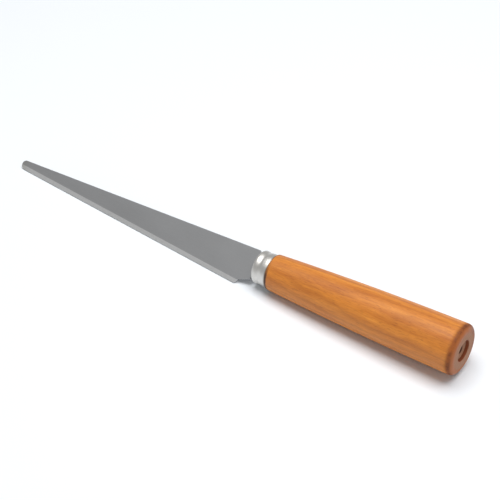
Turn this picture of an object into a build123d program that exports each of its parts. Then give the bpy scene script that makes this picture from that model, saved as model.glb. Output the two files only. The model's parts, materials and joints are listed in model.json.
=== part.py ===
from build123d import *
import os
from math import acos, asin, atan2, cos, degrees, hypot, sin, tan

# Fettling knife: a tapered steel blade, an aluminium ferrule and a turned wooden handle.
# The tool's own axis runs from the tip to the butt. A station is a distance in front of
# the butt face along that axis, so on the axis x = -station in the tool's planes.
# The knife lies as it rests on a table at z = 0, with the butt at +X and the origin under
# the middle of its length.

# Handle
handle_length = 96.85
butt_radius = 11.75
belly_station = 48.5
belly_radius = 10.72
front_radius = 8.45
butt_rounding = 2.4
front_rounding = 0.5
recess_radius = 5.0
recess_depth = 1.6
recess_rounding = 0.25
centre_hole_radius = 1.6
centre_hole_depth = 8.0
tenon_gap = 0.2
tenon_chamfer = 0.7

# Ferrule
ferrule_length = 7.6
ferrule_radius = 7.9
ferrule_wall = 0.8
lip_rounding = 1.3
lip_opening_radius = 5.2
groove_gap = 3.35
groove_radius = 1.2
groove_depth = 0.35
groove_rounding = 0.35
bead_width = 4.8
rim_tolerance = 0.04

# Blade
overall_length = 247.6
blade_thickness = 1.2
spine_at_shoulder = 6.87
spine_at_tip = 3.9
edge_at_heel = 11.75
edge_at_tip = 0.6
tip_rounding = 2.1
heel_gap = 8.45
heel_run = 1.4
heel_rise = 2.45
heel_rounding = 1.2
shoulder_gap = 1.55
shoulder_drop = 7.2
shoulder_rounding = 0.7
spine_rounding = 1.4
bevel_width = 2.1
bevel_depth = 0.42
tang_width = 6.0
tang_length = 46.0
tang_point_length = 8.0
tang_point_width = 2.0

# Stations
ferrule_front = handle_length + ferrule_length
groove_station = ferrule_front - groove_gap
tenon_front = ferrule_front - ferrule_wall - tenon_gap
shoulder_station = ferrule_front + shoulder_gap
heel_station = ferrule_front + heel_gap
tang_end = ferrule_front - tang_length
tang_taper = tang_end + tang_point_length

# How the knife lies: the belly, one arc, touches the table, and so does the whole edge.
# The edge's own line meets the tool's axis at the apex, just in front of the tip, so the
# apex is on the table as well. That gives the axis its pitch and the blade its roll.
belly = ThreePointArc(
    (0, butt_radius),
    (-belly_station, belly_radius),
    (-handle_length, front_radius),
)
edge_land = blade_thickness / 2 - bevel_depth
edge_slope = (edge_at_heel - edge_at_tip) / (overall_length - heel_station)
apex_station = heel_station + edge_at_heel / edge_slope
apex_reach = apex_station + belly.arc_center.X
apex_drop = -belly.arc_center.Y
apex_angle = acos((belly.radius - edge_land) / hypot(apex_reach, apex_drop))
axis_pitch = atan2(apex_reach, apex_drop) - apex_angle
blade_roll = degrees(asin(tan(axis_pitch) / edge_slope))
butt_height = belly.radius - apex_drop * cos(axis_pitch) - belly.arc_center.X * sin(axis_pitch)

# The tool's planes. Their x runs along the axis to the butt; the blade's y is its spine side.
butt_centre = Vector(overall_length / 2 * cos(axis_pitch), 0, butt_height)
axis_direction = Vector(cos(axis_pitch), 0, sin(axis_pitch))
tool_axis = Axis(butt_centre, axis_direction)
turning_plane = Plane(origin=butt_centre, x_dir=axis_direction, z_dir=(0, -1, 0))
blade_normal = turning_plane.y_dir.rotate(tool_axis, blade_roll)
blade_plane = Plane(origin=butt_centre, x_dir=axis_direction, z_dir=blade_normal)
butt_plane = Plane(origin=butt_centre, x_dir=(0, 1, 0), z_dir=axis_direction)

# Corners of the blade, in the blade's plane
spine_tip = (-overall_length, spine_at_tip)
spine_corner = (-shoulder_station, spine_at_shoulder)
shoulder_corner = (-shoulder_station, -shoulder_drop)
heel_corner = (-heel_station, -edge_at_heel)
heel_top = (-heel_station + heel_run, -edge_at_heel + heel_rise)
edge_tip = (-overall_length, -edge_at_tip)

# The grinding plane stands across the edge at the heel: x points out of the edge.
edge_start = blade_plane.from_local_coords(edge_tip)
edge_end = blade_plane.from_local_coords(heel_corner)
edge_direction = (edge_end - edge_start).normalized()
outward = edge_direction.cross(blade_plane.z_dir)
grinding_plane = Plane(origin=edge_end, x_dir=outward, z_dir=edge_direction)

os.makedirs("parts", exist_ok=True)

# Blade: one piece of sheet steel with its tang
with BuildPart() as blade:
    with BuildSketch(blade_plane) as outline:
        with BuildLine():
            Polyline(
                spine_tip,
                spine_corner,
                (-shoulder_station, tang_width / 2),
                (-tang_taper, tang_width / 2),
                (-tang_end, tang_point_width / 2),
                (-tang_end, -tang_point_width / 2),
                (-tang_taper, -tang_width / 2),
                (-shoulder_station, -tang_width / 2),
                shoulder_corner,
                heel_top,
                heel_corner,
                edge_tip,
                close=True,
            )
        make_face()
        fillet(outline.vertices().group_by(Axis.X)[0], tip_rounding)
        fillet(outline.vertices().sort_by_distance(spine_corner)[0], spine_rounding)
        fillet(outline.vertices().sort_by_distance(shoulder_corner)[0], shoulder_rounding)
        fillet(outline.vertices().sort_by_distance(heel_corner)[0], heel_rounding)
    extrude(amount=blade_thickness / 2, both=True)
    # The edge is ground from both sides, by a wedge above the blade and one below it.
    with BuildSketch(grinding_plane):
        with BuildLine():
            Polyline(
                (-bevel_width, blade_thickness / 2),
                (bevel_width, blade_thickness / 2 - 2 * bevel_depth),
                (bevel_width, blade_thickness),
                (-bevel_width, blade_thickness),
                close=True,
            )
        make_face()
        mirror(about=Plane.XZ)
    extrude(amount=overall_length, both=True, mode=Mode.SUBTRACT)
blade.part.label = "blade"
export_step(blade.part, "parts/blade.step")

# Ferrule: a tube with a turned-in lip, and a groove rolled into the wood behind it
bore_radius = ferrule_radius - ferrule_wall
lip_corner = (-ferrule_front, ferrule_radius)
lip_inside = (-ferrule_front + ferrule_wall, bore_radius)
groove_centre = (-groove_station, ferrule_radius + groove_radius - groove_depth)

with BuildPart() as ferrule:
    with BuildSketch(turning_plane) as section:
        with BuildLine():
            Polyline(
                (-handle_length, ferrule_radius),
                lip_corner,
                (-ferrule_front, lip_opening_radius),
                (-ferrule_front + ferrule_wall, lip_opening_radius),
                lip_inside,
                (-handle_length, bore_radius),
                close=True,
            )
        make_face()
        fillet(section.vertices().sort_by_distance(lip_corner)[0], lip_rounding)
        fillet(section.vertices().sort_by_distance(lip_inside)[0], lip_rounding - ferrule_wall)
    revolve(axis=tool_axis)
    with BuildSketch(turning_plane):
        with Locations(groove_centre):
            Circle(groove_radius + ferrule_wall)
        with Locations((-groove_station, bore_radius)):
            Rectangle(
                bead_width,
                ferrule_wall,
                align=(Align.CENTER, Align.MAX),
                mode=Mode.INTERSECT,
            )
    revolve(axis=tool_axis)
    with BuildSketch(turning_plane):
        with Locations(groove_centre):
            Circle(groove_radius)
    revolve(axis=tool_axis, mode=Mode.SUBTRACT)
    rims = ferrule.edges().filter_by(GeomType.CIRCLE).sort_by(tool_axis)
    rims = rims.filter_by(lambda rim: abs(rim.radius - ferrule_radius) < rim_tolerance)
    fillet(rims[1:3], groove_rounding)
ferrule.part.label = "ferrule"
export_step(ferrule.part, "parts/ferrule.step")

# Handle: turned wood, fitted to the ferrule's inside and to the tang
butt_corner = (0, butt_radius)
front_corner = (-handle_length, front_radius)
tenon_corner = (-tenon_front, bore_radius)

with BuildPart() as handle:
    with BuildSketch(turning_plane) as section:
        with BuildLine():
            Line((0, 0), butt_corner)
            ThreePointArc(butt_corner, (-belly_station, belly_radius), front_corner)
            Polyline(
                front_corner,
                (-handle_length, bore_radius),
                tenon_corner,
                (-tenon_front, 0),
                (0, 0),
            )
        make_face()
        fillet(section.vertices().sort_by_distance(butt_corner)[0], butt_rounding)
        fillet(section.vertices().sort_by_distance(front_corner)[0], front_rounding)
        chamfer(section.vertices().sort_by_distance(tenon_corner)[0], tenon_chamfer)
    revolve(axis=tool_axis)
    with Locations(butt_plane):
        CounterBoreHole(
            radius=centre_hole_radius,
            counter_bore_radius=recess_radius,
            counter_bore_depth=recess_depth,
            depth=centre_hole_depth,
        )
    rims = handle.edges().filter_by(GeomType.CIRCLE).sort_by(tool_axis)
    rims = rims.filter_by(lambda rim: abs(rim.radius - recess_radius) < recess_rounding)
    fillet(rims[-1], recess_rounding)
    add(ferrule.part, mode=Mode.SUBTRACT)
    add(blade.part, mode=Mode.SUBTRACT)
handle.part.label = "handle"
export_step(handle.part, "parts/handle.step")

# How it lies, and where its butt face is
rim_point = butt_plane.from_local_coords(((recess_radius + butt_radius - butt_rounding) / 2, 0, 0))
print(f"pitch {degrees(axis_pitch):.2f}, roll {blade_roll:.2f}, butt {butt_height:.2f} up")
print("butt face", rim_point, "normal", axis_direction)
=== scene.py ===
import json
from math import acos, cos, pi, radians, sin

import bmesh
import bpy
from mathutils import Matrix, Vector


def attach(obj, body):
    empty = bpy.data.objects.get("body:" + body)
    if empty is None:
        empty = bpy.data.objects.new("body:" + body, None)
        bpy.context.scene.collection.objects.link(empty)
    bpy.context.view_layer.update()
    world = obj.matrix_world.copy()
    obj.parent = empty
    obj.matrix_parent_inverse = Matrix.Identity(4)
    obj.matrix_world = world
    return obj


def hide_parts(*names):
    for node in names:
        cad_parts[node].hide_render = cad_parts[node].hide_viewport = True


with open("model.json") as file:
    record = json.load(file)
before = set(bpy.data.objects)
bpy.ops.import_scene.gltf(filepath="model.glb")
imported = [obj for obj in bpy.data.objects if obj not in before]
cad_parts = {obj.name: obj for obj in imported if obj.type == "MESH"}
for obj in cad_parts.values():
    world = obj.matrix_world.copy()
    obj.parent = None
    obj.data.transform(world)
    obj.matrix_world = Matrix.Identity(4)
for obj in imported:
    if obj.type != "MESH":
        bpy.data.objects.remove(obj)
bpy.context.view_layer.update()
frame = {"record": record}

mm = 0.001
weldDistance = 0.002 * mm
cutDistance = 0.0001 * mm

# The tool's own space: x runs along its axis to the butt, whose centre is the origin,
# y is level and z points up. A station is a distance in front of the butt face.
buttMount = frame["record"]["mounts"][0]
axisDirection = Vector(buttMount["axis"]).normalized()
levelDirection = Vector((0, 1, 0))
upDirection = axisDirection.cross(levelDirection)
buttCentre = Vector(buttMount["pos_m"])
buttCentre.y = 0
toolTurn = Matrix((axisDirection, levelDirection, upDirection)).transposed()
toolSpace = Matrix.Translation(buttCentre) @ toolTurn.to_4x4()


def at(station, height):
    return Vector((-station, 0, height)) * mm


def pathThrough(bm, points):
    verts = [bm.verts.new(point) for point in points]
    for first, second in zip(verts, verts[1:]):
        bm.edges.new((first, second))
    return verts


def roundCorner(bm, vert, cut, steps):
    # cut is how far from the corner the rounding starts
    bmesh.ops.bevel(
        bm, geom=[vert], affect="VERTICES", offset=cut * mm, offset_type="OFFSET",
        segments=steps, profile=0.5, material=-1,
    )


def spinAboutAxis(bm, steps):
    bmesh.ops.spin(
        bm, geom=bm.verts[:] + bm.edges[:], cent=(0, 0, 0), axis=(1, 0, 0),
        angle=2 * pi, steps=steps, use_merge=True,
    )
    bmesh.ops.remove_doubles(bm, verts=bm.verts[:], dist=weldDistance)
    bmesh.ops.recalc_face_normals(bm, faces=bm.faces[:])


def makePiece(bm, name, space, node, materials):
    bmesh.ops.transform(bm, matrix=space, verts=bm.verts[:])
    mesh = bpy.data.meshes.new(name)
    bm.to_mesh(mesh)
    bm.free()
    mesh.shade_smooth()
    piece = bpy.data.objects.new(name, mesh)
    bpy.context.collection.objects.link(piece)
    for material in materials:
        mesh.materials.append(material)
    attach(piece, "root")
    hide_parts(node)
    return piece


def addWeightedNormals(piece):
    modifier = piece.modifiers.new("even shading", "WEIGHTED_NORMAL")
    modifier.keep_sharp = True


# Node helpers
def newMaterial(name):
    material = bpy.data.materials.new(name)
    material.use_nodes = True
    return material, material.node_tree.nodes["Principled BSDF"]


def addNode(material, kind, inputs=None, **settings):
    node = material.node_tree.nodes.new(kind)
    for key, value in settings.items():
        setattr(node, key, value)
    for key, value in (inputs or {}).items():
        if isinstance(value, bpy.types.NodeSocket):
            material.node_tree.links.new(value, node.inputs[key])
        else:
            node.inputs[key].default_value = value
    return node


def addRamp(material, factor, stops):
    # stops are positions and grey values
    node = addNode(material, "ShaderNodeValToRGB", {"Fac": factor})
    ramp = node.color_ramp
    while len(ramp.elements) < len(stops):
        ramp.elements.new(0.5)
    for element, (position, value) in zip(ramp.elements, stops):
        element.position = position
        element.color = (value, value, value, 1)
    return node.outputs["Color"]


def addMath(material, operation, first, second=0.0):
    node = addNode(material, "ShaderNodeMath", {0: first, 1: second}, operation=operation)
    return node.outputs[0]


def addProduct(material, first, second):
    return addMath(material, "MULTIPLY", first, second)


def addSum(material, first, second):
    return addMath(material, "ADD", first, second)


def addMix(material, factor, first, second):
    # Sockets 0, 6 and 7 are the factor and the two colours
    node = addNode(material, "ShaderNodeMix", data_type="RGBA")
    for socket, value in zip((0, 6, 7), (factor, first, second)):
        if isinstance(value, bpy.types.NodeSocket):
            material.node_tree.links.new(value, node.inputs[socket])
        elif isinstance(value, tuple):
            node.inputs[socket].default_value = (*value, 1)
        else:
            node.inputs[socket].default_value = value
    return node.outputs[2]


def addToolPosition(material, space):
    # Object coordinates turned into a piece's own space, in millimetres
    inverse = space.inverted()
    place, turn, _ = inverse.decompose()
    position = addNode(material, "ShaderNodeTexCoord").outputs["Object"]
    mapping = addNode(material, "ShaderNodeMapping", {
        "Vector": position,
        "Location": place / mm,
        "Rotation": turn.to_euler(),
        "Scale": (1 / mm, 1 / mm, 1 / mm),
    })
    return mapping.outputs["Vector"]


def addStretch(material, vector, scale, location=(0, 0, 0)):
    mapping = addNode(material, "ShaderNodeMapping", {
        "Vector": vector, "Scale": scale, "Location": location,
    })
    return mapping.outputs["Vector"]


def addNoise(material, vector, scale, detail, roughness=0.5, distortion=0.0):
    node = addNode(material, "ShaderNodeTexNoise", {
        "Vector": vector, "Scale": scale, "Detail": detail, "Roughness": roughness,
        "Distortion": distortion,
    })
    return node.outputs["Fac"]


def addMask(material, value, start, end):
    # A smooth step from 0 at start to 1 at end
    return addNode(
        material, "ShaderNodeMapRange", {"Value": value, "From Min": start, "From Max": end},
        interpolation_type="SMOOTHSTEP",
    ).outputs[0]


def addRange(material, value, fromLow, fromHigh, toLow, toHigh):
    return addNode(material, "ShaderNodeMapRange", {
        "Value": value, "From Min": fromLow, "From Max": fromHigh,
        "To Min": toLow, "To Max": toHigh,
    }).outputs[0]


def addBump(material, height, strength, distance, below=None):
    inputs = {"Height": height, "Strength": strength, "Distance": distance}
    if below is not None:
        inputs["Normal"] = below
    return addNode(material, "ShaderNodeBump", inputs).outputs["Normal"]


def connect(material, output, socket):
    material.node_tree.links.new(output, socket)


# Handle: turned and lacquered wood
handleSizes = {
    "length": 96.85,
    "buttRadius": 11.75,
    "bellyStation": 48.5,
    "bellyRadius": 10.72,
    "frontRadius": 8.45,
    "buttRounding": 2.7,
    "frontRounding": 0.45,
    "recessRadius": 5.0,
    "recessDepth": 1.6,
    "recessRounding": 0.25,
    "holeRadius": 1.6,
    "holeDepth": 8.0,
    "tenonRadius": 7.08,
    "tenonFront": 103.45,
    "tenonChamfer": 0.7,
    "recessSteps": 4,
    "buttSteps": 14,
    "frontSteps": 5,
    "arcSteps": 40,
    "turns": 144,
}
woodLook = {
    "pale": (0.75, 0.275, 0.034),
    "amber": (0.56, 0.172, 0.017),
    "dark": (0.27, 0.062, 0.007),
    "pore": (0.20, 0.045, 0.008),
    "rim": (0.34, 0.085, 0.010),
    "rimDark": (0.13, 0.028, 0.004),
    "endGrain": (0.36, 0.20, 0.125),
    "recess": (0.20, 0.040, 0.004),
    # painted shade: the centre hole is painted near black
    "holeShade": (0.085, 0.030, 0.011),
    # a dark joint line at the ferrule, with painted shade on its low side
    "jointDarkAndShade": (0.035, 0.016, 0.008),
    # how finely each pattern runs along, across and up, per millimetre
    "driftStretch": (0.022, 0.08, 0.08),
    "streakStretch": (0.028, 0.40, 0.40),
    "fibreStretch": (0.16, 2.0, 2.0),
    "poreStretch": (0.36, 2.9, 2.9),
    "endPoreStretch": (0.3, 3.0, 3.0),
    "smearStretch": (0.08, 0.5, 0.5),
    "turningStretch": (1.1, 0.05, 0.05),
    "wobbleScale": 0.45,
    "smudgeScale": 0.30,
    # strength and depth in metres
    "fibreBump": (-0.12, 0.00004),
    "poreBump": (-0.20, 0.00005),
    "turningBump": (0.08, 0.0001),
    "fromPith": (0, -20.4, 21.9),  # the pith lies behind the handle and below it
    "ringScale": 0.143,
    "ringPhase": 0.0,
    "drift": 4.2,
    "ringWeight": 0.30,
    "fibreWeight": 0.36,
    "poreWeight": 0.42,
    "endRingWeight": 0.35,
    "endPoreWeight": 0.4,
    "rimWeight": 0.85,
    "farSideWeight": 0.85,
    "smudgeWeight": 0.7,
    "jointLineWeight": 0.7,
    # how strongly the painted shade in the centre hole and at the ferrule joint is laid on
    "holeAndJointShadeWeight": 0.95,
    "roughness": (0.42, 0.56),
    "bareRoughness": 0.30,  # added on the bare end grain and on the worn rim
    "ior": 1.48,
    "coat": 0.03,
    "coatRoughness": 0.30,
}
# Where each mark fades in, from none to full, in millimetres
woodMarks = {
    # along the axis, from the butt face at 0
    "rim": (-2.6, -1.2),
    "rimStart": (-4.0, -2.2),
    "rimStartEnd": (-0.2, -1.3),
    "inRecess": (-0.12, -0.35),
    "joint": (-94.7, -95.3),
    "jointLine": (-96.2, -96.5),
    # radii
    "face": (9.7, 8.3),
    "recessWall": (4.65, 4.85),
    "recessOutside": (5.7, 5.3),
    "holeShade": (2.0, 1.75),
    # up, and away from the cutting edge's side; the painted shade at the ferrule joint fades out
    # toward the top
    "jointHeight": (9.0, 3.0),
    "farSide": (3.0, 8.5),
}


def addGrain(material, position):
    # The rings, streaks, fibres and pores, as values from 0 to 1
    look = woodLook
    drift = addNode(material, "ShaderNodeTexNoise", {
        "Vector": addStretch(material, position, look["driftStretch"]),
        "Scale": 1.0, "Detail": 3.0, "Roughness": 0.5,
    }).outputs["Color"]
    drift = addNode(
        material, "ShaderNodeVectorMath", {0: drift, 1: (0, look["drift"], look["drift"])},
        operation="MULTIPLY",
    ).outputs[0]
    fromPith = addNode(
        material, "ShaderNodeVectorMath",
        {0: addStretch(material, position, (1, 1, 1), look["fromPith"]), 1: drift},
        operation="ADD",
    ).outputs[0]
    # Growth rings about a pith behind the handle arch along its near side
    rings = addNode(material, "ShaderNodeTexWave", {
        "Vector": fromPith, "Scale": look["ringScale"], "Phase Offset": look["ringPhase"],
    }, wave_type="RINGS", rings_direction="X", wave_profile="SAW").outputs["Fac"]
    ringTone = addRamp(material, rings, [(0.0, 0.75), (0.22, 0.10), (0.62, 0.12), (0.95, 1.0)])

    # Broad streaks, fibres and short pores, all drawn out along the handle
    streaks = addNoise(
        material, addStretch(material, position, look["streakStretch"]), 1.0, 4.0, 0.6, 0.5
    )
    streakTone = addRamp(material, streaks, [(0.32, 0.0), (0.72, 1.0)])
    fibres = addNoise(
        material, addStretch(material, position, look["fibreStretch"]), 1.0, 5.0, 0.7, 0.3
    )
    fibreTone = addRamp(material, fibres, [(0.38, 0.0), (0.68, 1.0)])
    pores = addStretch(material, position, look["poreStretch"])
    pores = addNoise(material, pores, 1.0, 2.0, 0.6)
    poreTone = addRamp(material, pores, [(0.57, 0.0), (0.70, 1.0)])
    return ringTone, streakTone, fibreTone, poreTone


def makeWood():
    material, shader = newMaterial("lacqueredWood")
    look, marks = woodLook, woodMarks
    position = addToolPosition(material, toolSpace)
    ringTone, streakTone, fibreTone, poreTone = addGrain(material, position)
    colour = addMix(material, streakTone, look["pale"], look["amber"])
    for tone, weight, shade in (
        (fibreTone, look["fibreWeight"], "dark"),
        (ringTone, look["ringWeight"], "dark"),
        (poreTone, look["poreWeight"], "pore"),
    ):
        colour = addMix(material, addProduct(material, tone, weight), colour, look[shade])

    # Where on the handle: x is minus the station, the radius is measured off the axis
    split = addNode(material, "ShaderNodeSeparateXYZ", {0: position}).outputs
    across = addNode(material, "ShaderNodeCombineXYZ", {1: split[1], 2: split[2]}).outputs[0]
    radius = addNode(
        material, "ShaderNodeVectorMath", {0: across}, operation="LENGTH"
    ).outputs["Value"]
    wobble = addNoise(material, position, look["wobbleScale"], 3.0)
    unevenX = addSum(material, split[0], wobble)
    unevenRadius = addSum(material, radius, wobble)
    rimMask = addMask(material, unevenX, *marks["rim"])
    faceMask = addProduct(material, addMask(material, unevenRadius, *marks["face"]), rimMask)
    wallMask = addMask(material, radius, *marks["recessWall"])
    wallMask = addProduct(material, wallMask, addMask(material, split[0], *marks["inRecess"]))
    wallMask = addProduct(material, wallMask, addMask(material, radius, *marks["recessOutside"]))
    # Painted shade inside the centre hole and round its mouth
    holeShadeMask = addMask(material, radius, *marks["holeShade"])

    # The wood is painted darker at the joint with the ferrule: a thin dark line all round, and
    # painted shade that grows toward the bottom
    jointMask = addMask(material, unevenX, *marks["joint"])
    jointMask = addProduct(material, jointMask, addMask(material, split[2], *marks["jointHeight"]))
    jointLine = addMask(material, split[0], *marks["jointLine"])
    jointLine = addProduct(material, jointLine, look["jointLineWeight"])
    jointMask = addMath(material, "MAXIMUM", jointMask, jointLine)

    # Brown smudges where the rounded rim starts and on its far side
    smudge = addNoise(material, position, look["smudgeScale"], 4.0, 0.65)
    rimStart = addProduct(
        material, addMask(material, split[0], *marks["rimStart"]),
        addMask(material, split[0], *marks["rimStartEnd"]),
    )
    farSide = addMask(material, split[1], *marks["farSide"])
    farSide = addProduct(material, farSide, look["farSideWeight"])
    smudgeTone = addProduct(
        material, addMath(material, "MAXIMUM", rimStart, farSide),
        addRamp(material, smudge, [(0.34, 0.15), (0.60, 1.0)]),
    )
    rimTone = addMix(material, smudgeTone, look["rim"], look["rimDark"])
    smudgeStart = addProduct(material, rimStart, smudge)
    smudgeStart = addProduct(material, smudgeStart, look["smudgeWeight"])

    # Bare end grain on the butt face
    endRings = addProduct(material, ringTone, look["endRingWeight"])
    endTone = addMix(material, endRings, look["endGrain"], look["rim"])
    endPores = addStretch(material, position, look["endPoreStretch"])
    endPores = addNoise(material, endPores, 1.0, 3.0, 0.7)
    endPores = addRamp(material, endPores, [(0.42, 0.0), (0.66, 1.0)])
    endPores = addProduct(material, endPores, look["endPoreWeight"])
    endTone = addMix(material, endPores, endTone, look["rim"])

    for mask, shade in (
        (smudgeStart, look["rimDark"]),
        (addProduct(material, rimMask, look["rimWeight"]), rimTone),
        (faceMask, endTone),
        (wallMask, look["recess"]),
        (addProduct(material, holeShadeMask, look["holeAndJointShadeWeight"]), look["holeShade"]),
        # painted shade low down at the ferrule joint, over a dark joint line
        (addProduct(material, jointMask, look["holeAndJointShadeWeight"]), look["jointDarkAndShade"]),
    ):
        colour = addMix(material, mask, colour, shade)
    connect(material, colour, shader.inputs["Base Color"])

    smear = addStretch(material, position, look["smearStretch"])
    smear = addNoise(material, smear, 1.0, 4.0, 0.6)
    roughness = addRange(material, smear, 0.3, 0.7, *look["roughness"])
    bare = addMath(material, "MAXIMUM", faceMask, rimStart)
    bare = addProduct(material, bare, look["bareRoughness"])
    connect(material, addSum(material, roughness, bare), shader.inputs["Roughness"])
    shader.inputs["IOR"].default_value = look["ior"]
    shader.inputs["Coat Weight"].default_value = look["coat"]
    shader.inputs["Coat Roughness"].default_value = look["coatRoughness"]

    normal = addBump(material, fibreTone, *look["fibreBump"])
    normal = addBump(material, poreTone, *look["poreBump"], normal)
    # Faint turning marks run round the handle
    turning = addStretch(material, position, look["turningStretch"])
    turning = addNoise(material, turning, 1.0, 2.0)
    normal = addBump(material, turning, *look["turningBump"], normal)
    connect(material, normal, shader.inputs["Normal"])
    return material


def makeHandle():
    sizes = handleSizes
    # The belly is one arc through three points of the profile
    butt = Vector((0, sizes["buttRadius"]))
    belly = Vector((-sizes["bellyStation"], sizes["bellyRadius"]))
    front = Vector((-sizes["length"], sizes["frontRadius"]))
    toBelly, toFront = belly - butt, front - butt
    area = 2 * toBelly.cross(toFront)
    offset = Vector((
        toFront.y * toBelly.length_squared - toBelly.y * toFront.length_squared,
        toBelly.x * toFront.length_squared - toFront.x * toBelly.length_squared,
    )) / area
    centre = butt + offset
    arcRadius = offset.length
    sweep = acos(1 - toFront.length_squared / (2 * arcRadius ** 2))

    bm = bmesh.new()
    endCorners = pathThrough(bm, [
        at(sizes["holeDepth"], 0),
        at(sizes["holeDepth"], sizes["holeRadius"]),
        at(sizes["recessDepth"], sizes["holeRadius"]),
        at(sizes["recessDepth"], sizes["recessRadius"]),
        at(0, sizes["recessRadius"]),
        at(0, sizes["buttRadius"]),
    ])
    arc = bmesh.ops.spin(
        bm, geom=[endCorners[-1]], cent=Vector((centre.x, 0, centre.y)) * mm,
        axis=(0, -1, 0), angle=sweep, steps=sizes["arcSteps"],
    )
    frontVert = [item for item in arc["geom_last"] if isinstance(item, bmesh.types.BMVert)][0]
    pathThrough(bm, [
        frontVert.co.copy(),
        at(sizes["length"], sizes["tenonRadius"]),
        at(sizes["tenonFront"], sizes["tenonRadius"]),
        at(sizes["tenonFront"], 0),
    ])
    bmesh.ops.remove_doubles(bm, verts=bm.verts[:], dist=weldDistance)

    def nearest(point):
        return min(bm.verts, key=lambda vert: (vert.co - point).length)

    for corner, edge in (
        (at(0, sizes["recessRadius"]), "recess"),
        (at(0, sizes["buttRadius"]), "butt"),
        (frontVert.co, "front"),
    ):
        roundCorner(bm, nearest(corner), sizes[edge + "Rounding"], sizes[edge + "Steps"])
    tenonCorner = nearest(at(sizes["tenonFront"], sizes["tenonRadius"]))
    roundCorner(bm, tenonCorner, sizes["tenonChamfer"], 1)
    spinAboutAxis(bm, sizes["turns"])
    return makePiece(bm, "turnedHandle", toolSpace, "handle", [makeWood()])


handlePiece = makeHandle()
addWeightedNormals(handlePiece)
print("handle made")


# Ferrule: a short aluminium tube with a rolled groove and a turned-in lip
ferruleSizes = {
    "rear": 96.95,
    "front": 104.45,
    "endRadius": 7.76,
    "crestRadius": 7.93,
    "shoulderRadius": 7.80,
    "grooveRadius": 7.50,
    "rearCrest": 98.5,
    "rearShoulder": 100.1,
    "groove": 101.1,
    "frontShoulder": 102.1,
    "frontCrest": 102.9,
    "inside": 7.1,
    "wall": 0.8,
    "lipOpening": 5.2,
    "crestCut": 0.7,
    "grooveCut": 0.62,
    "shoulderCut": 0.35,
    "lipCut": 1.1,
    "innerCut": 0.5,
    "rearCut": 0.2,
    "cornerSteps": 6,
    "turns": 144,
}
aluminiumLook = {
    "bright": (0.70, 0.685, 0.655),
    "dull": (0.55, 0.535, 0.505),
    "rearEndDark": (0.30, 0.27, 0.22),
    "lineStretch": (9.0, 0.12, 0.12),
    "patchScale": 0.35,
    "dentScale": 0.5,
    "lineBump": (0.22, 0.00004),
    "dentBump": (0.05, 0.0003),
    "lineWeight": 0.4,
    "patchWeight": 0.35,
    "rearEndDarkFrom": (-97.6, -97.1),  # it darkens the rear end, against the wood
    "rearEndDarkWeight": 0.85,
    "roughness": (0.38, 0.48),
}


def makeAluminium():
    material, shader = newMaterial("spunAluminium")
    look = aluminiumLook
    position = addToolPosition(material, toolSpace)
    # Fine marks run round the ferrule, so the pattern is stretched round and short along it
    lines = addStretch(material, position, look["lineStretch"])
    lines = addNoise(material, lines, 1.0, 4.0, 0.6)
    lineTone = addRamp(material, lines, [(0.35, 0.0), (0.65, 1.0)])
    patches = addNoise(material, position, look["patchScale"], 3.0)
    patchTone = addRamp(material, patches, [(0.35, 0.0), (0.7, 1.0)])
    tone = addSum(
        material, addProduct(material, lineTone, look["lineWeight"]),
        addProduct(material, patchTone, look["patchWeight"]),
    )
    colour = addMix(material, tone, look["bright"], look["dull"])
    split = addNode(material, "ShaderNodeSeparateXYZ", {0: position}).outputs
    # Darker toward the rear end, against the wood
    rear = addRange(material, split[0], *look["rearEndDarkFrom"], 0.0, look["rearEndDarkWeight"])
    colour = addMix(material, rear, colour, look["rearEndDark"])
    connect(material, colour, shader.inputs["Base Color"])
    shader.inputs["Metallic"].default_value = 1.0
    roughness = addRange(material, tone, 0.0, 0.75, *look["roughness"])
    connect(material, roughness, shader.inputs["Roughness"])
    normal = addBump(material, lineTone, *look["lineBump"])
    dents = addNoise(material, position, look["dentScale"], 2.0)
    normal = addBump(material, dents, *look["dentBump"], normal)
    connect(material, normal, shader.inputs["Normal"])
    return material


def makeFerrule():
    sizes = ferruleSizes
    bm = bmesh.new()
    corners = pathThrough(bm, [
        at(sizes["rear"], sizes["inside"]),
        at(sizes["rear"], sizes["endRadius"]),
        at(sizes["rearCrest"], sizes["crestRadius"]),
        at(sizes["rearShoulder"], sizes["shoulderRadius"]),
        at(sizes["groove"], sizes["grooveRadius"]),
        at(sizes["frontShoulder"], sizes["shoulderRadius"]),
        at(sizes["frontCrest"], sizes["crestRadius"]),
        at(sizes["front"], sizes["endRadius"]),
        at(sizes["front"], sizes["lipOpening"]),
        at(sizes["front"] - sizes["wall"], sizes["lipOpening"]),
        at(sizes["front"] - sizes["wall"], sizes["inside"]),
    ])
    bm.edges.new((corners[-1], corners[0]))
    cuts = (
        "rearCut", "crestCut", "shoulderCut", "grooveCut", "shoulderCut", "shoulderCut",
        "lipCut", "rearCut", "rearCut", "innerCut",
    )
    for corner, cut in zip(corners[1:], cuts):
        roundCorner(bm, corner, sizes[cut], sizes["cornerSteps"])
    spinAboutAxis(bm, sizes["turns"])
    return makePiece(
        bm, "spunFerrule", toolSpace, "ferrule", [makeAluminium()]
    )


ferrulePiece = makeFerrule()
addWeightedNormals(ferrulePiece)
print("ferrule made")


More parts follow.
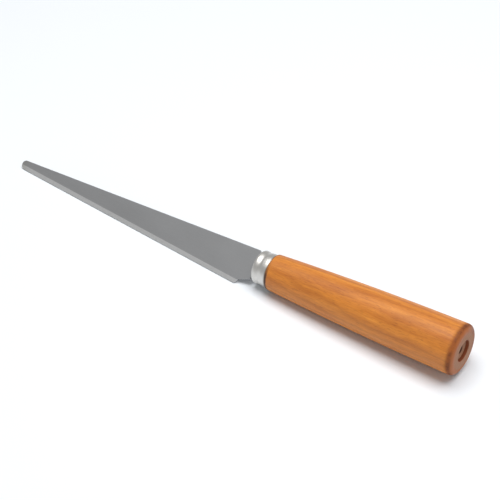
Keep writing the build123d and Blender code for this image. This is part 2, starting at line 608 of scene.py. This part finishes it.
# Blade: sheet steel with a bevel ground along the edge from both sides
bladeSizes = {
    "roll": 39.49,
    "overall": 247.6,
    "thickness": 1.2,
    "shoulder": 106.0,
    "spineAtShoulder": 6.87,
    "spineAtTip": 3.9,
    "heel": 112.9,
    "edgeAtHeel": 11.75,
    "edgeAtTip": 0.6,
    "heelRun": 1.4,
    "heelRise": 2.45,
    "shoulderDrop": 7.2,
    "tangWidth": 6.0,
    "tangTaper": 66.45,
    "tangEnd": 58.45,
    "tangPoint": 2.0,
    "tipCut": 2.0,
    "spineCut": 1.3,
    "heelCut": 1.3,
    "shoulderCut": 0.7,
    "cornerSteps": 8,
    "bevelWidth": 2.1,
    "bevelDepth": 0.42,
    "edgeSoftening": 0.18,
    "softeningSteps": 3,
    "softeningAngle": 25,
}
steelLook = {
    "flat": (0.50, 0.505, 0.51),
    "flatDark": (0.43, 0.435, 0.445),
    "ground": (0.74, 0.74, 0.735),
    "groundDark": (0.58, 0.58, 0.58),
    "stain": (0.36, 0.35, 0.30),
    # painted shade on the thin sides, spine and cutting edge
    "side": (0.22, 0.22, 0.22),
    "sideWeight": 0.75,
    "sideFrom": (0.24, 0.16),  # measured from the middle of the sheet
    "mottleStretch": (0.30, 0.55, 0.55),
    "cloudStretch": (0.03, 0.09, 0.09),
    "scratchBump": (0.18, 0.00003),
    "mottleBump": (0.06, 0.00008),
    "scratchWeight": 0.45,
    "mottleWeight": 0.40,
    "stainFrom": (-236.0, -243.5),  # the tip is a little stained
    "stainDrift": 8.0,
    "stainWeight": 0.35,
    "flatScratch": (0.12, 3.2, 3.2),  # rolled along the blade
    "flatRoughness": (0.34, 0.44),
    "groundScratch": (5.0, 0.35, 0.35),  # ground across it
    "groundRoughness": (0.42, 0.54),
}
bladeSpace = toolSpace @ Matrix.Rotation(radians(bladeSizes["roll"]), 4, "X")


def makeSteel(name, bright, dark, scratch, roughnessRange):
    # scratch stretches the marks: small along their length, large across it
    material, shader = newMaterial(name)
    look = steelLook
    position = addToolPosition(material, bladeSpace)
    scratches = addNoise(material, addStretch(material, position, scratch), 1.0, 5.0, 0.65)
    scratchTone = addRamp(material, scratches, [(0.32, 0.0), (0.68, 1.0)])
    mottle = addStretch(material, position, look["mottleStretch"])
    mottle = addNoise(material, mottle, 1.0, 5.0, 0.6)
    mottleTone = addRamp(material, mottle, [(0.30, 0.0), (0.72, 1.0)])
    cloud = addStretch(material, position, look["cloudStretch"])
    cloud = addNoise(material, cloud, 1.0, 2.0)
    tone = addSum(
        material, addProduct(material, scratchTone, look["scratchWeight"]),
        addProduct(material, mottleTone, look["mottleWeight"]),
    )
    colour = addMix(material, tone, bright, dark)
    split = addNode(material, "ShaderNodeSeparateXYZ", {0: position}).outputs
    unevenX = addSum(material, split[0], addProduct(material, cloud, look["stainDrift"]))
    tip = addMask(material, unevenX, *look["stainFrom"])
    tip = addProduct(material, tip, look["stainWeight"])
    colour = addMix(material, tip, colour, look["stain"])
    # The thin sides, spine and cutting edge alike, are painted darker than the faces: painted
    # shade, standing in for the shadowed floor that the cutting edge reflects
    height = addMath(material, "ABSOLUTE", split[2])
    side = addMask(material, height, *look["sideFrom"])
    side = addProduct(material, side, look["sideWeight"])
    colour = addMix(material, side, colour, look["side"])
    connect(material, colour, shader.inputs["Base Color"])
    shader.inputs["Metallic"].default_value = 1.0
    roughness = addRange(material, addSum(material, tone, cloud), 0.3, 1.3, *roughnessRange)
    connect(material, roughness, shader.inputs["Roughness"])
    normal = addBump(material, scratchTone, *look["scratchBump"])
    normal = addBump(material, mottleTone, *look["mottleBump"], normal)
    connect(material, normal, shader.inputs["Normal"])
    return material


def makeBlade():
    sizes = bladeSizes
    halfTang, halfPoint = sizes["tangWidth"] / 2, sizes["tangPoint"] / 2
    halfThick = sizes["thickness"] / 2

    def inBlade(station, rise):
        return Vector((-station, rise, -halfThick)) * mm

    bm = bmesh.new()
    corners = pathThrough(bm, [
        inBlade(sizes["overall"], -sizes["edgeAtTip"]),
        inBlade(sizes["overall"], sizes["spineAtTip"]),
        inBlade(sizes["shoulder"], sizes["spineAtShoulder"]),
        inBlade(sizes["shoulder"], halfTang),
        inBlade(sizes["tangTaper"], halfTang),
        inBlade(sizes["tangEnd"], halfPoint),
        inBlade(sizes["tangEnd"], -halfPoint),
        inBlade(sizes["tangTaper"], -halfTang),
        inBlade(sizes["shoulder"], -halfTang),
        inBlade(sizes["shoulder"], -sizes["shoulderDrop"]),
        inBlade(sizes["heel"] - sizes["heelRun"], -sizes["edgeAtHeel"] + sizes["heelRise"]),
        inBlade(sizes["heel"], -sizes["edgeAtHeel"]),
    ])
    bm.edges.new((corners[-1], corners[0]))
    for index, cut in (
        (0, "tipCut"), (1, "tipCut"), (2, "spineCut"), (9, "shoulderCut"), (11, "heelCut")
    ):
        roundCorner(bm, corners[index], sizes[cut], sizes["cornerSteps"])
    bmesh.ops.contextual_create(bm, geom=bm.edges[:])
    raised = bmesh.ops.extrude_face_region(bm, geom=bm.faces[:])["geom"]
    bmesh.ops.translate(
        bm, verts=[item for item in raised if isinstance(item, bmesh.types.BMVert)],
        vec=(0, 0, sizes["thickness"] * mm),
    )
    bmesh.ops.recalc_face_normals(bm, faces=bm.faces[:])

    # Each side is ground away past a plane that leans along the edge
    heel = Vector((-sizes["heel"], -sizes["edgeAtHeel"], 0)) * mm
    tip = Vector((-sizes["overall"], -sizes["edgeAtTip"], 0)) * mm
    along = (tip - heel).normalized()
    outward = Vector((along.y, -along.x, 0))
    if outward.y > 0:
        outward.negate()
    for face in (1, -1):
        faceDirection = Vector((0, 0, face))
        lean = outward * sizes["bevelDepth"] + faceDirection * sizes["bevelWidth"]
        start = heel - outward * sizes["bevelWidth"] * mm + faceDirection * halfThick * mm
        cut = bmesh.ops.bisect_plane(
            bm, geom=bm.verts[:] + bm.edges[:] + bm.faces[:], dist=cutDistance,
            plane_co=start, plane_no=lean.normalized(), clear_outer=True,
        )["geom_cut"]
        rim = [item for item in cut if isinstance(item, bmesh.types.BMEdge)]
        ground = bmesh.ops.contextual_create(bm, geom=rim)["faces"]
        for groundFace in ground:
            groundFace.material_index = 1
    bmesh.ops.recalc_face_normals(bm, faces=bm.faces[:])
    look = steelLook
    steel = makeSteel(
        "rolledSteel", look["flat"], look["flatDark"], look["flatScratch"], look["flatRoughness"]
    )
    edge = makeSteel(
        "groundSteel", look["ground"], look["groundDark"],
        look["groundScratch"], look["groundRoughness"],
    )
    return makePiece(bm, "sheetBlade", bladeSpace, "blade", [steel, edge])


bladePiece = makeBlade()
softening = bladePiece.modifiers.new("softened edges", "BEVEL")
softening.width = bladeSizes["edgeSoftening"] * mm
softening.segments = bladeSizes["softeningSteps"]
softening.limit_method = "ANGLE"
softening.angle_limit = radians(bladeSizes["softeningAngle"])
softening.use_clamp_overlap = True
addWeightedNormals(bladePiece)
print("blade made")


# Floor, light and camera
studio = {
    "floor": (0.82, 0.85, 0.885),
    "floorSize": 6.0,
    "skyStrength": 0.38,
    "horizonStrength": 0.62,
    "horizonTop": (0.18, 0.36),
    "floorRoughness": 0.75,
    "lampPlace": (0.11, 0.04, 1.0),
    "lampAim": (0.11, 0.04, 0),
    "lampSize": (0.96, 0.62),
    "lampPower": 10.4,
}
cameraView = {
    "azimuth": 34.307,
    "elevation": 42.320,
    "distance": 0.68629,
    "target": (0.014007, 0.0, 0.015274),
    "lens": 109.05,
}


def makeFloor():
    bm = bmesh.new()
    bmesh.ops.create_grid(bm, x_segments=8, y_segments=8, size=studio["floorSize"] / 2)
    mesh = bpy.data.meshes.new("floor")
    bm.to_mesh(mesh)
    bm.free()
    floor = bpy.data.objects.new("floor", mesh)
    bpy.context.collection.objects.link(floor)
    material, shader = newMaterial("paleFloor")
    shader.inputs["Base Color"].default_value = (*studio["floor"], 1)
    shader.inputs["Roughness"].default_value = studio["floorRoughness"]
    mesh.materials.append(material)


def makeLamp():
    light = bpy.data.lights.new("softbox", "AREA")
    light.shape = "RECTANGLE"
    light.size, light.size_y = studio["lampSize"]
    light.energy = studio["lampPower"]
    lamp = bpy.data.objects.new("softbox", light)
    lamp.location = studio["lampPlace"]
    aim = Vector(studio["lampAim"]) - lamp.location
    lamp.rotation_euler = aim.to_track_quat("-Z", "Y").to_euler()
    bpy.context.collection.objects.link(lamp)


def makeSky():
    world = bpy.data.worlds.new("studio")
    bpy.context.scene.world = world
    world.use_nodes = True
    # Pale walls up to a little above the horizon, then a dimmer ceiling
    direction = addNode(world, "ShaderNodeTexCoord").outputs["Generated"]
    rise = addNode(world, "ShaderNodeSeparateXYZ", {0: direction}).outputs[2]
    strength = addNode(world, "ShaderNodeMapRange", {
        "Value": rise,
        "From Min": studio["horizonTop"][0], "From Max": studio["horizonTop"][1],
        "To Min": studio["horizonStrength"], "To Max": studio["skyStrength"],
    }, interpolation_type="SMOOTHSTEP").outputs[0]
    background = world.node_tree.nodes["Background"]
    background.inputs["Color"].default_value = (1, 1, 1, 1)
    connect(world, strength, background.inputs["Strength"])


def makeCamera():
    azimuth, elevation = radians(cameraView["azimuth"]), radians(cameraView["elevation"])
    back = Vector((
        sin(azimuth) * cos(elevation), -cos(azimuth) * cos(elevation), sin(elevation)
    ))
    data = bpy.data.cameras.new("camera")
    data.lens = cameraView["lens"]
    camera = bpy.data.objects.new("camera", data)
    camera.location = Vector(cameraView["target"]) + back * cameraView["distance"]
    camera.rotation_euler = (-back).to_track_quat("-Z", "Y").to_euler()
    bpy.context.collection.objects.link(camera)
    bpy.context.scene.camera = camera


makeFloor()
makeLamp()
makeSky()
makeCamera()
bpy.context.scene.view_settings.view_transform = "Standard"
print("floor, light and camera made")
